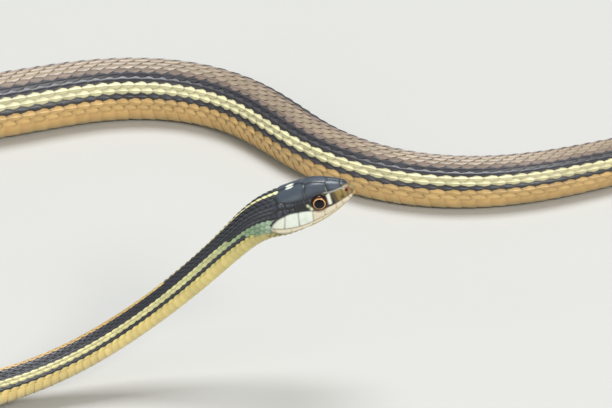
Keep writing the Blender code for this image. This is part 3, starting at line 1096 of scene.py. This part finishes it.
        # Painted highlight: a lighter bluish middle on each scale behind the eye, for light on its dome
        lay(Mark.TEMPLE_PAINTED_HIGHLIGHT, 0.6 * ramp(inside, 0.06, 0.45) * behind_eye * ramp(at, 12.0, 0.6))
        lay(Mark.TEMPLE_SEAM, 0.8 * (1.0 - ramp(inside, 0.0, 0.15)) * behind_eye)
        lay(Mark.DARK_SEAM, 0.7 * (1.0 - ramp(inside, 0.0, 0.16)) * above_lip)
        lay(Mark.NOSTRIL, 1.0 - ramp(nostril, 0.16, 0.2))
        lay(Mark.NOSTRIL_RIM, 0.75 * ramp(-np.abs(nostril - 0.42), -0.2, 0.14) * (at < 1.4))
        lay(Mark.MOUTH_LINE, 0.85 * (1.0 - ramp(mouth, 0.05, 0.12)))
        lay(Mark.LIP_BLUSH, 0.25 * ramp(-np.abs(mouth - 0.3), -0.26, 0.2) * ~upper)
        # Darker olive towards the throat's middle: partly its own colour, partly painted shade under the head
        lay(Tone.THROAT, ramp(rings.share, 0.8, 0.12) * ramp(at, 7.0, 7.0))
        # Painted shade: near black in the hollow where the eye sits
        lay(Mark.SOCKET_SHADE, 1.0 - ramp(ring, 1.36, 0.14))
        for _ in range(2):
            colour[1:-1] = 0.25 * colour[:-2] + 0.5 * colour[1:-1] + 0.25 * colour[2:]
            colour[:, 1:-1] = 0.25 * colour[:, :-2] + 0.5 * colour[:, 1:-1] + 0.25 * colour[:, 2:]
        return colour


@dataclass
class Skin:
    """One closed skin over the whole animal, fine on the head and coarser under the scales.

    Args:
        body: The animal's form.
        markings: Its stripes.
        head: The head's relief.
        around: Points round each ring of the head; the body has a quarter of them.
        nose_angles: First, last and step of the angles, in degrees, that space the snout's rings.
        head_step: Ring spacing on the head, in millimetres.
        body_step: Ring spacing on the body.
        head_end: Place where the fine rings end.
        after_head: How far behind it the next ring and the body's first one lie.
        tip: How far from the tail's end the last ring lies.
    """

    body: Body
    markings: Markings
    head: Head
    around: int = 288
    nose_angles: tuple = (2.0, 90.0, 2.6)
    head_step: float = 0.104
    body_step: float = 2.4
    head_end: float = 20.6
    after_head: tuple = (0.2, 0.9)
    tip: float = 0.3

    def head_rings(self) -> tuple[np.ndarray, ...]:
        """Shape the head.

        Returns:
            Its points, colours and wear, a ring a row.
        """
        nose = SNOUT_ROUND * (1.0 - np.cos(np.radians(np.arange(*self.nose_angles))))
        place = np.concatenate([nose, np.arange(SNOUT_ROUND, self.head_end, self.head_step)])
        left, height, girth = self.body.outline(place, self.around // 2 + 1)
        far = np.linspace(0.0, 1.0, self.around // 2 + 1)[None, :] * girth[:, None]
        rings = Rings(np.broadcast_to(place[:, None], left.shape), left, height, far)
        relief, colour, wear = self.head.form(rings, self.markings)
        left, height, relief, wear = (self.mirrored(half, sign) for half, sign in (
            (left, -1.0), (height, 1.0), (relief, 1.0), (wear, 1.0)))
        colour = np.stack([self.mirrored(colour[..., k], 1.0) for k in range(3)], axis=-1)
        point, _, over_left, up = self.body.frames(place)
        points = point[:, None] + over_left[:, None] * left[..., None] + up[:, None] * height[..., None]
        before, after = np.roll(points, 1, axis=1), np.roll(points, -1, axis=1)
        out = np.cross(np.gradient(points, axis=0), after - before)
        out /= np.linalg.norm(out, axis=-1, keepdims=True) + 1e-12
        out *= np.sign(np.sum(out * (points - point[:, None]), axis=(-1, -2), keepdims=True))
        return points + out * relief[..., None], colour, wear

    @staticmethod
    def mirrored(half: np.ndarray, sign: float) -> np.ndarray:
        """Complete half rings with their other side."""
        return np.concatenate([half, sign * half[:, -2:0:-1]], axis=1)

    def body_rings(self, around: int, place: np.ndarray) -> tuple[np.ndarray, ...]:
        """Shape the skin under the scales.

        Args:
            around: Points round each ring.
            place: Place of each ring.

        Returns:
            Its points, colours and wear, a ring a row.
        """
        at, share = np.meshgrid(place, np.linspace(0.0, 2.0, around, endpoint=False), indexing="ij")
        sunk = -(keel_room(at) + coat_depth(at) - SKIN_LIFT)
        points = self.body.surface(at, share, sunk) / MM
        return points, self.markings.at(at, signed(share)) * BETWEEN_SCALES, np.full(at.shape, SKIN_WEAR)

    @staticmethod
    def faces(rings: list[np.ndarray], starts: np.ndarray) -> list[np.ndarray]:
        """Join each ring to the next, and close both ends with a fan.

        Args:
            rings: The points of each ring; one may have half as many as the one before it.
            starts: The number of each ring's first point, and last that of the first of the two end points.

        Returns:
            Blocks of faces, each a row of vertex numbers.
        """
        faces = []
        for first, second, a, b in zip(rings, rings[1:], starts, starts[1:]):
            i = np.arange(len(first))
            n = (i + 1) % len(first)
            if len(first) == len(second):
                faces.append(np.stack([a + i, a + n, b + n, b + i], axis=1))
                continue
            even, half = i[::2], np.arange(len(second))
            near, odd, beyond = a + even, a + even + 1, a + (even + 2) % len(first)
            under, following = b + half, b + (half + 1) % len(second)
            for corners in ((near, odd, under), (odd, following, under), (odd, beyond, following)):
                faces.append(np.stack(corners, axis=1))
        for ring, start, tip in ((rings[0], starts[0], starts[-1]), (rings[-1], starts[-2], starts[-1] + 1)):
            i = np.arange(len(ring))
            faces.append(np.stack([start + i, np.full(len(ring), tip), start + (i + 1) % len(ring)], axis=1))
        return faces

    def build(self) -> bpy.types.Object:
        """Join the rings into one closed mesh.

        Returns:
            The skin.
        """
        first, start = (self.head_end + gap for gap in self.after_head)
        end = LENGTH - self.tip
        spaced = np.linspace(start, end, round((end - start) / self.body_step))
        blocks = [self.head_rings(), self.body_rings(self.around // 2, np.array([first])),
                  self.body_rings(self.around // 4, spaced)]
        rings = [ring for block in blocks for ring in block[0]]
        colours = np.concatenate([block[1].reshape(-1, 3) for block in blocks])
        wear = np.concatenate([block[2].ravel() for block in blocks])
        snout, _, _, up = self.body.frames(np.array([0.0]))
        ends = np.array([snout[0] + up[0] * SNOUT_LEVEL, rings[-1].mean(axis=0)])
        faces = self.faces(rings, np.cumsum([0] + [len(ring) for ring in rings]))
        sizes = np.concatenate([np.full(len(block), block.shape[1]) for block in faces])
        skin = mesh_object("skin", np.concatenate(rings + [ends]) * MM,
                           np.concatenate([block.ravel() for block in faces]), sizes)
        bm = bmesh.new()
        bm.from_mesh(skin.data)
        bmesh.ops.recalc_face_normals(bm, faces=bm.faces)
        bm.to_mesh(skin.data)
        bm.free()
        skin.data.shade_smooth()
        colours = np.concatenate([colours, colours[:1], colours[-1:]])
        paint(skin, colours, wear=np.concatenate([wear, wear[:1], wear[-1:]]))
        return skin

    def dress(self, skin: bpy.types.Object) -> None:
        """Give the skin its material and its place in the frame.

        Args:
            skin: The skin.
        """
        skin.data.materials.append(HornFinish("skin", 0.42, 0.12, 0.006, 0.2).material())
        flesh = [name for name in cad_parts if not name.startswith("eye_")]
        settle(skin, "body_skin", *flesh)


@dataclass
class Eye:
    """One eye: a flattened, domed ball set in the head.

    Args:
        body: The animal's form.
        side: 1 on the left and -1 on the right.
        inset: How much smaller than the solid's ball it is, in millimetres.
        depth: Half its thickness.
        segments: Faces round it.
        rings: Rings of faces from front to back.
    """

    body: Body
    side: int
    inset: float = 0.012
    depth: float = 0.92
    segments: int = 96
    rings: int = 64

    def build(self) -> bpy.types.Object:
        """Model the ball at its place, looking out and a little forward.

        Returns:
            The eye.
        """
        bpy.ops.object.select_all(action="DESELECT")
        bpy.ops.mesh.primitive_uv_sphere_add(segments=self.segments, ring_count=self.rings, radius=1.0)
        eye = bpy.context.object
        eye.name = "eye_glass_" + ("left" if self.side > 0 else "right")
        points = np.zeros(len(eye.data.vertices) * 3)
        eye.data.vertices.foreach_get("co", points)
        local = points.reshape(-1, 3)
        radius = np.hypot(local[:, 0], local[:, 1])
        paint(eye, np.zeros((len(local), 3)), radius=np.where(local[:, 2] > 0.0, radius, 1.0))
        point, tail, left, up = (array[0] for array in self.body.frames(np.array([0.0])))
        turn = math.radians(EYE_FORWARD)
        out = left * self.side * math.cos(turn) - tail * math.sin(turn)
        middle = point + tail * EYE_PLACE + up * EYE_HEIGHT
        middle = middle + left * self.side * (through(HALF_WIDTH, EYE_PLACE) - EYE_INSET)
        eye.dimensions = [2.0 * (size - self.inset) * MM for size in (EYE_RADIUS, EYE_RADIUS, self.depth)]
        eye.rotation_euler = Vector(out).to_track_quat("Z", "Y").to_euler()
        eye.location = Vector(middle) * MM
        bpy.ops.object.transform_apply(location=True, rotation=True, scale=True)
        bpy.ops.object.shade_smooth()
        return eye

    def dress(self, eye: bpy.types.Object, material: bpy.types.Material) -> None:
        """Give the eye its material and its place in the frame."""
        eye.data.materials.append(material)
        settle(eye, "eye_gloss", "eye_left" if self.side > 0 else "eye_right")


@dataclass
class Form:
    """A single scale, modelled once on a square grid: its along, across and thickness run over fixed ranges.

    Args:
        along: Faces along it.
        across: Faces across it.
    """

    along: int
    across: int
    grid: np.ndarray = field(init=False)
    loops: np.ndarray = field(init=False)
    sizes: np.ndarray = field(init=False)

    def __post_init__(self) -> None:
        """Model the slab: a grid, its walls and one face under it."""
        bpy.ops.object.select_all(action="DESELECT")
        bpy.ops.mesh.primitive_grid_add(x_subdivisions=self.along, y_subdivisions=self.across, size=2.0,
                                        location=(0.0, 0.0, 0.0))
        slab = bpy.context.object
        bpy.ops.object.mode_set(mode="EDIT")
        bpy.ops.mesh.select_all(action="SELECT")
        bpy.ops.mesh.extrude_region_move(TRANSFORM_OT_translate={"value": (0.0, 0.0, 1.0)})
        bpy.ops.mesh.select_mode(type="FACE")
        for face in bmesh.from_edit_mesh(slab.data).faces:
            face.select_set(all(vertex.co.z < 0.5 for vertex in face.verts))
        bmesh.update_edit_mesh(slab.data)
        bpy.ops.mesh.dissolve_faces()
        bpy.ops.mesh.select_all(action="SELECT")
        bpy.ops.mesh.normals_make_consistent(inside=False)
        bpy.ops.object.mode_set(mode="OBJECT")
        mesh = slab.data
        self.grid = np.array([vertex.co for vertex in mesh.vertices])
        self.loops = np.array([index for face in mesh.polygons for index in face.vertices])
        self.sizes = np.array([len(face.vertices) for face in mesh.polygons])
        bpy.data.objects.remove(slab, do_unlink=True)

    def laid(self) -> tuple[np.ndarray, ...]:
        """Spread the slab's points for laying, closer together at its free edge.

        Returns:
            Along, from -1 at the root; across; whether on top; and lift, from 0 at the root to 1.
        """
        along, across, thick = self.grid.T
        along = 1.0 - 2.0 * ((1.0 - along) / 2.0) ** 1.3
        return along, across, thick > 0.5, ((along + 1.0) / 2.0) ** 0.85


@dataclass
class Growth:
    """Where the scales of a coat grow: arrays with one value a scale.

    Args:
        place: Distance of its middle down the body.
        share: Its share of the way round.
        long: Spacing along the row, in millimetres.
        wide: Spacing between rows, in millimetres.
        keel: Height of its keel, as a share of its width.
    """

    place: np.ndarray
    share: np.ndarray
    long: np.ndarray
    wide: np.ndarray
    keel: np.ndarray

    def only(self, kept: np.ndarray) -> "Growth":
        """Keep some of the scales."""
        return Growth(*(values[kept] for values in vars(self).values()))

    @staticmethod
    def join(growths: list["Growth"]) -> "Growth":
        """Put several growths together."""
        return Growth(*(np.concatenate(values) for values in zip(*(vars(one).values() for one in growths))))


@dataclass
class Coat:
    """The scales of the whole animal, in rows that thin out towards the tail.

    Args:
        body: The animal's form.
        markings: Its stripes.
        head: Where the head's plates end.
        belly_edge: Share of the way round where the belly plates begin.
        back_rows: Rows on each side of the one down the back's middle.
        edge_widths: Width of the last row but one and of the last, as shares of a plain one's.
        throat_rows: Rows of small scales on each side of the throat.
        throat_end: Place where the throat's scales give way to belly plates.
        drops: Rows that end, as (row, place, length over which it narrows).
        pitch: Spacing along a row, as (place, millimetres).
        overlap: Half a scale's length, as a share of its pitch.
        fullness: Half a scale's width, as (place, share of its row's).
        thickness: A scale's thickness, as a share of the coat's depth.
        keels: Height of the keels, as a share of a scale's width, and that in the last row.
        uneven: How far scales differ in size, as a share.
        uneven_tone: How far they differ in brightness.
        painted_sheen: Strength of the painted highlight down dark scales' middles, for light on their keels.
        painted_sheen_tint: Its colour.
        dark_below: How bright a scale may be and still have it.
        peach: The tint at the root of belly plates.
        peach_share: Its strength.
        overhang: How far belly plates reach up under the lowest row, as a share of the way round.
        cuts: The pieces of the back's and sides' coat, as (name, start, end).
        sharp_angle: Angle between faces, in degrees, past which an edge stays sharp.
        line_step: Step of the count along the body, in millimetres.
        seed: Start of the random draws.
    """

    body: Body
    markings: Markings
    head: Head
    belly_edge: float = 0.63
    back_rows: int = 9
    edge_widths: tuple = (1.15, 1.35)
    throat_rows: int = 6
    throat_end: float = 21.0
    drops: tuple = ((7, 505.0, 28.0), (8, 566.0, 22.0), (2, 590.0, 24.0), (5, 622.0, 26.0), (4, 662.0, 26.0),
                    (1, 700.0, 24.0))
    pitch: tuple = ((0, 1.2), (16, 1.25), (24, 1.35), (40, 1.5), (70, 1.8), (110, 2.3), (200, 3.05),
                    (345, 3.4), (500, 3.0), (556, 2.7), (640, 2.0), (768, 1.1))
    overlap: float = 0.66
    fullness: tuple = ((0, 0.66), (30, 0.64), (90, 0.64), (160, 0.7), (768, 0.72))
    thickness: float = 0.32
    keels: tuple = (0.17, 0.04)
    uneven: float = 0.03
    uneven_tone: float = 0.12
    # A painted highlight: a bluish strip down the middle of dark scales, standing in for light on their keels
    painted_sheen: float = 0.036
    painted_sheen_tint: tuple = (0.75, 0.85, 1.15)
    dark_below: float = 0.03
    peach: tuple = (230, 166, 112)
    peach_share: float = 0.25
    overhang: float = 0.035
    cuts: tuple = (("scales_neck", 0.0, 112.0), ("scales_trunk_front", 112.0, 240.0),
                   ("scales_trunk_middle", 240.0, 370.0), ("scales_trunk_rear", 370.0, VENT),
                   ("scales_tail", VENT, LENGTH))
    sharp_angle: float = 50.0
    line_step: float = 0.25
    seed: int = 7
    fine: np.ndarray = field(init=False)
    counted: np.ndarray = field(init=False)
    random: np.random.Generator = field(init=False)
    scale: Form = field(init=False)
    belly: Form = field(init=False)

    def __post_init__(self) -> None:
        """Count pitches along the body, start the random draws, and model a scale and a belly plate."""
        self.fine = np.arange(0.0, LENGTH + self.line_step, self.line_step)
        steps = self.line_step / through(self.pitch, self.fine[1:])
        self.counted = np.concatenate([[0.0], np.cumsum(steps)])
        self.random = np.random.default_rng(self.seed)
        self.scale = Form(4, 6)
        self.belly = Form(3, 12)

    def whole(self, number: np.ndarray) -> np.ndarray:
        """Return the places where a count along the body comes to a whole number."""
        return np.interp(np.arange(math.ceil(number[0]), number[-1]), number, self.fine)

    def weights(self) -> np.ndarray:
        """Weigh the back's rows against each other.

        Returns:
            The width of each row, as a share of a plain row's, all along the body.
        """
        rows = np.ones((self.back_rows + 1, len(self.fine)))
        rows[-2:] = np.array(self.edge_widths)[:, None]
        for which, place, length in self.drops:
            rows[which] *= 1.0 - ramp(self.fine, place, length)
        return rows

    def back(self) -> Growth:
        """Lay out the rows of the back and sides.

        Returns:
            Their scales.
        """
        rows = self.weights()
        before = np.concatenate([np.zeros((1, len(self.fine))), np.cumsum(rows, axis=0)[:-1]])
        centre = before + rows / 2.0 - rows[0] / 2.0
        total = rows.sum(axis=0) - rows[0] / 2.0
        girth = self.body.girth(np.maximum(self.fine, self.body.table_start))
        found = []
        for k in range(self.back_rows + 1):
            places = self.whole(self.counted - 0.5 * centre[k])
            share = np.interp(places, self.fine, self.belly_edge * centre[k] / total)
            wide = np.interp(places, self.fine, self.belly_edge * rows[k] / total * girth)
            kept = ((np.interp(places, self.fine, rows[k]) > 0.3) & (places < LENGTH - 4.0)
                    & (places > through(self.head.coat_from, share) - 0.1))
            places, share, wide = places[kept], share[kept], wide[kept]
            keel = self.keels[k == self.back_rows] * ramp(places, *KEELS_START)
            for side in (1.0, -1.0) if k else (1.0,):
                found.append(Growth(places, side * share, through(self.pitch, places), wide, keel))
        return Growth.join(found)

    def throat(self) -> Growth:
        """Lay out the small smooth scales of the throat, in rows that carry on from the sides'.

        Returns:
            Its scales.
        """
        step = (1.0 - self.belly_edge) / self.throat_rows
        found = []
        for k in range(self.throat_rows):
            share = self.belly_edge + (k + 0.5) * step
            places = self.whole(self.counted - 0.5 * (self.back_rows + 1 + k))
            start = np.interp(share, *np.array(self.head.coat_from).T) - 0.1
            places = places[(places > start) & (places < self.throat_end)]
            wide = step * self.body.girth(places)
            for side in (1.0, -1.0):
                found.append(Growth(places, np.full(len(places), side * share), through(self.pitch, places),
                                    wide, np.zeros(len(places))))
        return Growth.join(found)

    def plates(self, start: float, end: float) -> np.ndarray:
        """Return the places of the belly's plates over a stretch."""
        number = np.interp([start, end], self.fine, self.counted)
        return np.interp(np.arange(math.ceil(number[0]), number[1]), self.counted, self.fine)

    def grow(self, name: str, growth: Growth) -> bpy.types.Object:
        """Lay one joined mesh of keeled scales over the body.

        Args:
            name: The piece's name.
            growth: Where its scales grow.

        Returns:
            The piece.
        """
        a, b, upper, lift = self.scale.laid()
        b = np.sign(b) * np.abs(b) ** 1.6
        rear = np.clip((a + 0.2) / 1.2, 0.0, 1.0)
        front = np.clip((-0.2 - a) / 0.8, 0.0, 1.0)
        outline = (1.0 - rear ** 3.0) * 0.86 + 0.14 - 0.2 * front ** 2
        jitter = self.random.uniform(-1.0, 1.0, (len(growth.place), 3))
        long = growth.long[:, None] * (1.0 + self.uneven * jitter[:, :1])
        full = (growth.wide * through(self.fullness, growth.place))[:, None]
        half = full * (1.0 + self.uneven * jitter[:, 1:2])
        depth = coat_depth(growth.place)[:, None]
        droop = 0.17 * half * outline ** 2 * np.abs(b) ** 2.2
        ridge = (growth.keel * growth.wide)[:, None] * np.exp(-(b / 0.13) ** 2) * ramp(a, -0.8, 0.6)
        ridge = ridge * (1.0 - 0.75 * ramp(a, 0.7, 0.3))
        top = -keel_room(growth.place)[:, None] + depth * (lift - 1.0) + self.uneven * depth * jitter[:, 2:3]
        top = top - np.minimum(droop, 0.75 * depth)
        height = np.where(upper, top + ridge, top - self.thickness * depth)
        height = np.where(a < -0.95, height - 0.15 * depth, height)
        place = growth.place[:, None] + a * self.overlap * long
        share = growth.share[:, None] - b * outline * half / self.body.girth(growth.place)[:, None]
        tone = self.markings.at(growth.place, growth.share)
        return self.lay(name, self.scale, (growth.place, growth.share), (place, share, height),
                        self.tones(tone, a, b, upper))

    def tones(self, tone: np.ndarray, a: np.ndarray, b: np.ndarray,
              upper: np.ndarray) -> tuple[np.ndarray, np.ndarray]:
        """Colour each scale from its own tone: darker at its root and edges, uneven from one to the next.

        Dark scales also get a painted highlight down their middle.

        Args:
            tone: Each scale's colour.
            a: How far along the scale each of its points is.
            b: How far across it.
            upper: Whether it is on top.

        Returns:
            The colour and the wear of each point of each scale.
        """
        vary = 1.0 + self.uneven_tone * self.random.uniform(-1.0, 1.0, (len(tone), 1, 1))
        edge = 1.0 - 0.3 * np.abs(b) ** 4 - 0.22 * (1.0 - ramp(a, -0.8, 0.9)) - 0.22 * ramp(a, 0.8, 0.2)
        edge = np.where(upper, edge, 0.6)
        dark = tone.mean(axis=1)[:, None, None] < self.dark_below
        # Painted highlight down the middle of dark scales, for light on their keels
        painted_keel_sheen = self.painted_sheen * np.array(self.painted_sheen_tint) * np.exp(-(b / 0.3) ** 2)[None, :, None] * dark
        colours = tone[:, None, :] * vary * edge[None, :, None] + painted_keel_sheen * upper[None, :, None]
        wear = np.broadcast_to(0.25 * (1.0 - ramp(a, -0.8, 1.2)) + 0.15 * np.abs(b) ** 2, colours.shape[:2])
        return colours, wear

    def lay(self, name: str, form: Form, root: tuple, spread: tuple, looks: tuple) -> bpy.types.Object:
        """Copy a form once for each scale into one mesh, with the map OFBake and its colours.

        Args:
            name: The piece's name.
            form: The scale to copy.
            root: Place and share of the way round of each scale's middle.
            spread: Place, share and height of every point, a row a scale.
            looks: Colour and wear of every point, a row a scale.

        Returns:
            The piece.
        """
        place, share, height = spread
        count, size = place.shape
        place = np.clip(place, self.body.table_start, LENGTH)
        points = self.body.surface(place.ravel(), share.ravel(), height.ravel())
        loops = (form.loops[None, :] + size * np.arange(count)[:, None]).ravel()
        piece = mesh_object(name, points, loops, np.tile(form.sizes, count))
        piece.data.set_sharp_from_angle(angle=math.radians(self.sharp_angle))
        reach = 1.0 - 2.0 * MAP_MARGIN
        middle = np.stack([root[0] / LENGTH * reach + MAP_MARGIN, 0.5 + reach / 2.0 * root[1]], axis=1)
        spots = (middle[:, None, :] + PATCH / 2.0 * form.grid[None, :, :2]).reshape(-1, 2)[loops]
        piece.data.uv_layers.new(name="OFBake").data.foreach_set("uv", spots.astype(np.float32).ravel())
        colours, wear = looks
        paint(piece, colours.reshape(-1, 3), wear=wear.reshape(-1))
        return piece

    def grow_plates(self, name: str, places: np.ndarray, centre: float,
                    half_share: float) -> bpy.types.Object:
        """Lay one joined mesh of broad smooth plates across the belly or a side of the tail.

        Args:
            name: The piece's name.
            places: The plates' places.
            centre: Share of the way round of their middles; both signs are used unless it is 1.
            half_share: Half their width, as a share of the way round.

        Returns:
            The piece.
        """
        a, b, upper, lift = self.belly.laid()
        b = np.sign(b) * (1.0 - (1.0 - np.abs(b)) ** 1.25)
        sides = (1.0,) if centre >= 1.0 else (1.0, -1.0)
        shift = 0.5 * through(self.pitch, places)
        root = np.concatenate([places + shift * number for number in range(len(sides))])
        middle = np.concatenate([np.full(len(places), side * centre) for side in sides])
        long = through(self.pitch, root)[:, None]
        depth = coat_depth(root)[:, None]
        corner = np.clip((np.abs(b) - 0.8) / 0.2, 0.0, 1.0) ** 2
        rounded = 0.14 * corner
        place = root[:, None] + a * self.overlap * long * (1.0 - 0.25 * rounded) - rounded * long * (a > 0.0)
        share = middle[:, None] - b * half_share
        clear = keel_room(root)[:, None] * (1.0 - ramp(np.abs(share), 0.66, 0.14))
        top = -clear + depth * (0.75 * lift - 0.75) - 0.5 * corner * depth
        height = np.where(upper, top, top - self.thickness * depth)
        tone = self.markings.at(np.clip(place, self.body.table_start, LENGTH), signed(share))
        tint = self.peach_share * (1.0 - ramp(a, -0.3, 0.45))
        tone = tone + (linear(*self.peach) - tone) * tint[None, :, None]
        edge = 1.0 - 0.08 * ramp(a, 0.75, 0.25) - 0.08 * (1.0 - ramp(a, -0.6, 0.6))
        vary = 1.0 + 0.06 * self.random.uniform(-1.0, 1.0, (len(root), 1, 1))
        looks = (tone * edge[None, :, None] * vary, np.full(place.shape, 0.1))
        return self.lay(name, self.belly, (root, middle), (place, share, height), looks)

    def build(self) -> list[bpy.types.Object]:
        """Build the coat, in pieces by length.

        Returns:
            The pieces.
        """
        back = self.back()
        pieces = [self.grow(name, back.only((back.place >= start) & (back.place < end)))
                  for name, start, end in self.cuts]
        pieces.append(self.grow("scales_throat", self.throat()))
        half = 1.0 - self.belly_edge + self.overhang
        pieces.append(self.grow_plates("belly_plates", self.plates(self.throat_end + 0.4, VENT), 1.0, half))
        pieces.append(self.grow_plates("tail_plates", self.plates(VENT, LENGTH - 3.5),
                                       1.0 - half / 2.0 + 0.01, half / 2.0 + 0.015))
        return pieces

    def dress(self, pieces: list[bpy.types.Object]) -> None:
        """Give the scales their material and their place in the frame.

        Args:
            pieces: The coat's pieces.
        """
        material = HornFinish("scales", 0.4, 0.16, 0.006, 0.15).material()
        for piece in pieces:
            piece.data.materials.append(material)
            settle(piece, "body_skin")


@dataclass
class Studio:
    """A pale floor, soft lights and the photo's view.

    Args:
        elevation: The camera's height over the horizon, in degrees.
        distance: Its distance from the point it looks at, in metres.
        pixel: Width of a pixel at that point, in metres.
        width: The picture's width, in pixels.
        aim: The point it looks at.
        sensor: Width of the camera's sensor, in millimetres.
        lamps: The lights, as (name, place, size, power, colour).
        air: Colour of the light from all round.
        air_strength: Its strength.
    """

    elevation: float = 28.0
    distance: float = 2.0
    pixel: float = 0.2128e-3
    width: int = 612
    aim: tuple = (-0.0605, -0.0403, 0.036)
    sensor: float = 36.0
    lamps: tuple = (("sky", (-0.1, 0.3, 1.2), 0.6, 17.0, (0.94, 0.97, 1.0)),
                    ("window", (0.6, -0.9, 0.9), 0.45, 11.5, (1.0, 0.97, 0.93)),
                    ("fill", (-0.8, -0.8, 0.5), 0.8, 4.0, (0.96, 0.98, 1.0)))
    air: tuple = (0.93, 0.96, 1.0, 1.0)
    air_strength: float = 0.36

    def floor(self) -> None:
        """Lay the floor."""
        bpy.ops.object.select_all(action="DESELECT")
        bpy.ops.mesh.primitive_plane_add(size=6.0, location=(0.0, 0.0, 0.0))
        floor = bpy.context.object
        floor.name = "floor"
        floor.data.materials.append(FloorFinish().material())

    def light(self, name: str, place: tuple, size: float, power: float, colour: tuple) -> None:
        """Hang one square soft light, facing the animal.

        Args:
            name: Its name.
            place: Where it hangs, in metres.
            size: Its width, in metres.
            power: Its power, in watts.
            colour: Its colour.
        """
        lamp = bpy.data.lights.new(name, "AREA")
        lamp.size = size
        lamp.energy = power
        lamp.color = colour
        held = bpy.data.objects.new(name, lamp)
        held.location = place
        held.rotation_euler = (Vector(self.aim) - Vector(place)).to_track_quat("-Z", "Y").to_euler()
        bpy.context.scene.collection.objects.link(held)

    def camera(self) -> None:
        """Set up the camera."""
        tilt = math.radians(self.elevation)
        data = bpy.data.cameras.new("camera")
        data.sensor_width = self.sensor
        data.lens = self.sensor * (self.distance / self.pixel) / self.width
        data.clip_start = 0.05
        camera = bpy.data.objects.new("camera", data)
        back = Vector((0.0, -math.cos(tilt), math.sin(tilt)))
        camera.location = Vector(self.aim) + back * self.distance
        camera.rotation_euler = (math.radians(90.0) - tilt, 0.0, 0.0)
        bpy.context.scene.collection.objects.link(camera)
        bpy.context.scene.camera = camera

    def build(self) -> None:
        """Build the floor, the lights and the camera."""
        self.floor()
        for lamp in self.lamps:
            self.light(*lamp)
        world = bpy.data.worlds.new("room")
        world.use_nodes = True
        backdrop = world.node_tree.nodes["Background"]
        backdrop.inputs["Color"].default_value = self.air
        backdrop.inputs["Strength"].default_value = self.air_strength
        bpy.context.scene.world = world
        bpy.context.scene.view_settings.view_transform = "Standard"
        self.camera()


def main() -> None:
    """Build the snake and its studio."""
    logging.basicConfig(level=logging.INFO, format="%(message)s")
    body = Body()
    markings = Markings()
    head = Head()
    skin = Skin(body, markings, head)
    skin.dress(skin.build())
    glass = EyeFinish().material()
    for side in (1, -1):
        eye = Eye(body, side)
        eye.dress(eye.build(), glass)
    coat = Coat(body, markings, head)
    coat.dress(coat.build())
    Studio().build()


if __name__ == "__main__":
    main()
